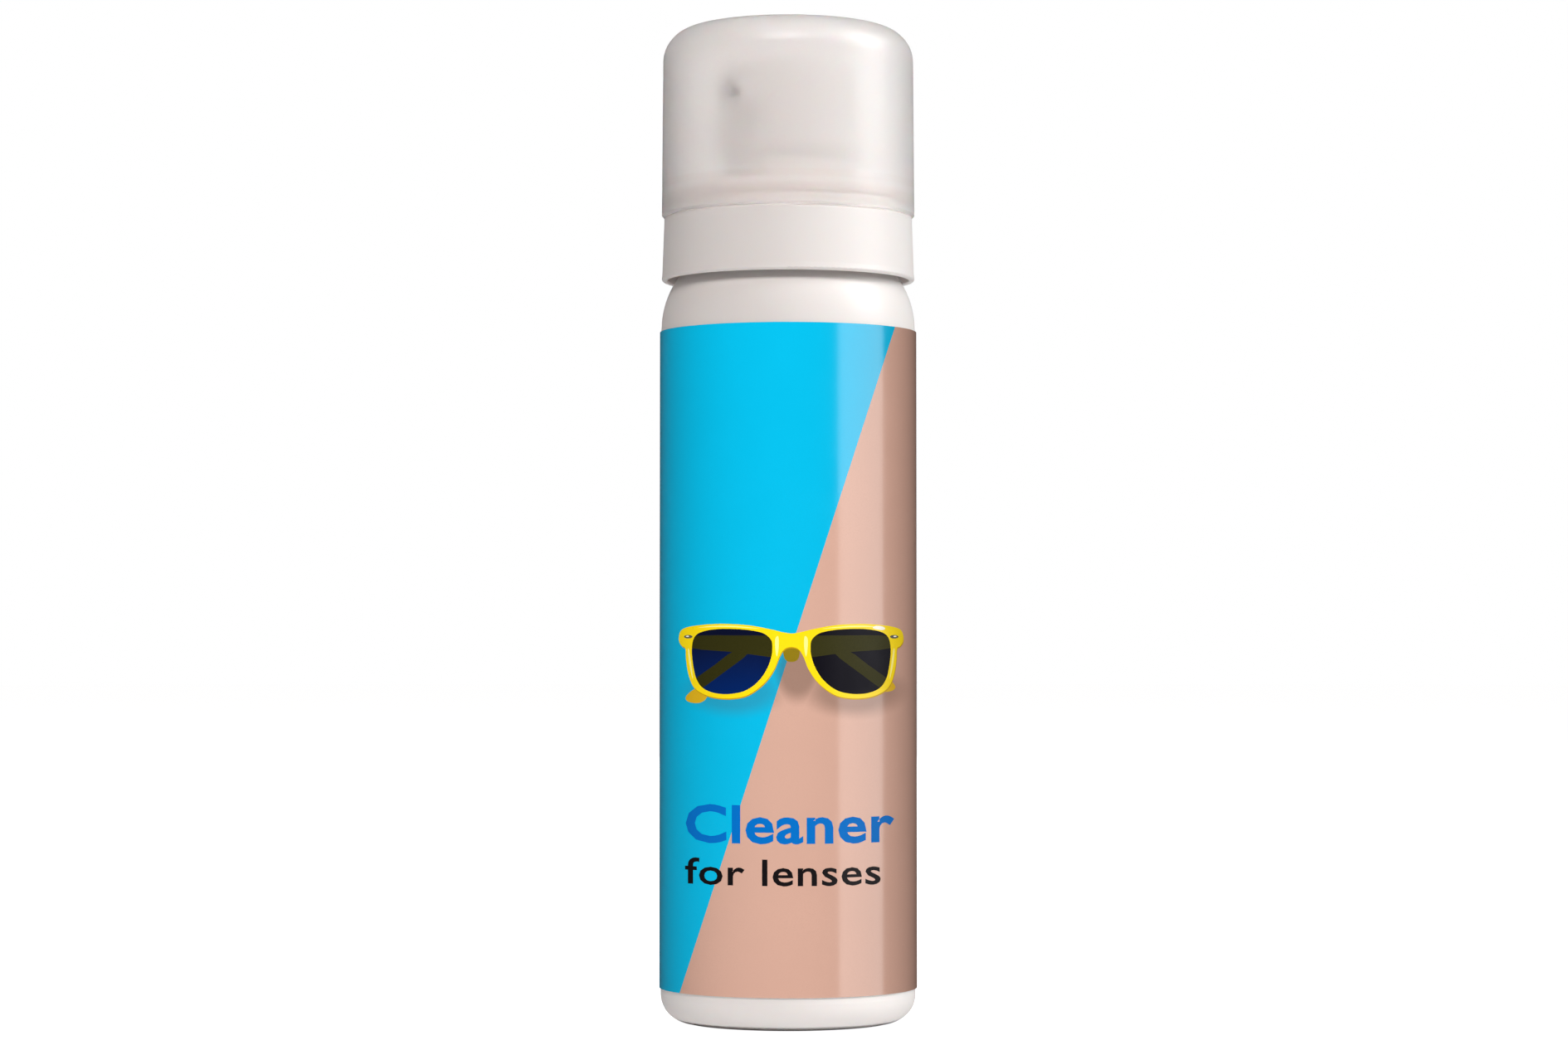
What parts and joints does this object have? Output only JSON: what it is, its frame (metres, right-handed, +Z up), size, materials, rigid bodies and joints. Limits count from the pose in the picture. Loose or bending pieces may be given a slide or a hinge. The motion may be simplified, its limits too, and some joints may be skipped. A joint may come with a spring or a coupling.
{
  "type": "lens cleaning spray",
  "caption": "Slim round bottle of lens cleaner with a wrap label, a screw collar with a finger-pump foaming spray head, and a frosted push-on overcap.",
  "frame": {"origin": "centre of the bottle's base, on the surface it stands on", "axes": "+Z up along the bottle's axis; -Y is the front, where the label's picture faces; +X is to the right as the front is looked at"},
  "size_m": [0.0354, 0.0354, 0.1373],
  "materials": {
    "bottle_plastic": "gloss white, opaque",
    "label_film": "gloss film printed blue and salmon with a picture of glasses",
    "collar_plastic": "satin white",
    "cap_plastic": "frosted, translucent",
    "head_plastic": "semi-gloss white",
    "nozzle_plastic": "satin light grey",
    "pump_plastic": "natural, slightly cloudy",
    "tube_plastic": "translucent",
    "valve_rubber": "soft silicone",
    "gasket_foam": "soft closed-cell foam",
    "mesh_nylon": "fine woven monofilament",
    "valve_steel": "polished stainless",
    "spring_steel": "drawn stainless wire"
  },
  "bodies": {
    "bottle": {"bottle": "bottle_plastic", "label": "label_film"},
    "pump": {"pump_housing": "pump_plastic", "neck_gasket": "gasket_foam", "dip_tube": "tube_plastic", "ball_cage": "pump_plastic"},
    "collar": {"screw_collar": "collar_plastic"},
    "cap": {"overcap": "cap_plastic"},
    "spring": {"return_spring": "spring_steel"},
    "plunger": {"press_head": "head_plastic", "nozzle_insert": "nozzle_plastic", "mesh_holder": "pump_plastic", "mesh_lower": "mesh_nylon", "mesh_upper": "mesh_nylon", "air_piston": "pump_plastic", "liquid_piston": "pump_plastic", "air_inlet_valve": "valve_rubber", "air_outlet_valve": "valve_rubber"},
    "inlet_ball": {"inlet_ball": "valve_steel"},
    "outlet_ball": {"outlet_ball": "valve_steel"}
  },
  "joints": [
    {"name": "pump_lift", "type": "slide", "parent": "bottle", "child": "pump", "axis": [0, 0, 1], "range_m": [0, 0.00375]},
    {"name": "collar_turn", "type": "hinge", "parent": "pump", "child": "collar", "pos_m": [0, 0, 0.1068], "axis": [0, 0, 1], "range_deg": [0, 450]},
    {"name": "cap_lift", "type": "slide", "parent": "collar", "child": "cap", "axis": [0, 0, 1], "range_m": [0, 0.045]},
    {"name": "head_turn", "type": "hinge", "parent": "pump", "child": "spring", "pos_m": [0, 0, 0.1068], "axis": [0, 0, 1], "continuous": true},
    {"name": "head_press", "type": "slide", "parent": "spring", "child": "plunger", "axis": [0, 0, -1], "range_m": [0, 0.004], "stiffness_N_per_m": 800, "springref_m": -0.004, "deforming": ["return_spring"]},
    {"name": "inlet_ball_lift", "type": "slide", "parent": "pump", "child": "inlet_ball", "axis": [0, 0, 1], "range_m": [0, 0.0008]},
    {"name": "outlet_ball_lift", "type": "slide", "parent": "plunger", "child": "outlet_ball", "axis": [0, 0, 1], "range_m": [0, 0.0008]}
  ],
  "couplings": [
    {"joint": "pump_lift", "follows": "collar_turn", "m_per_rad": 0.00047746}
  ]
}
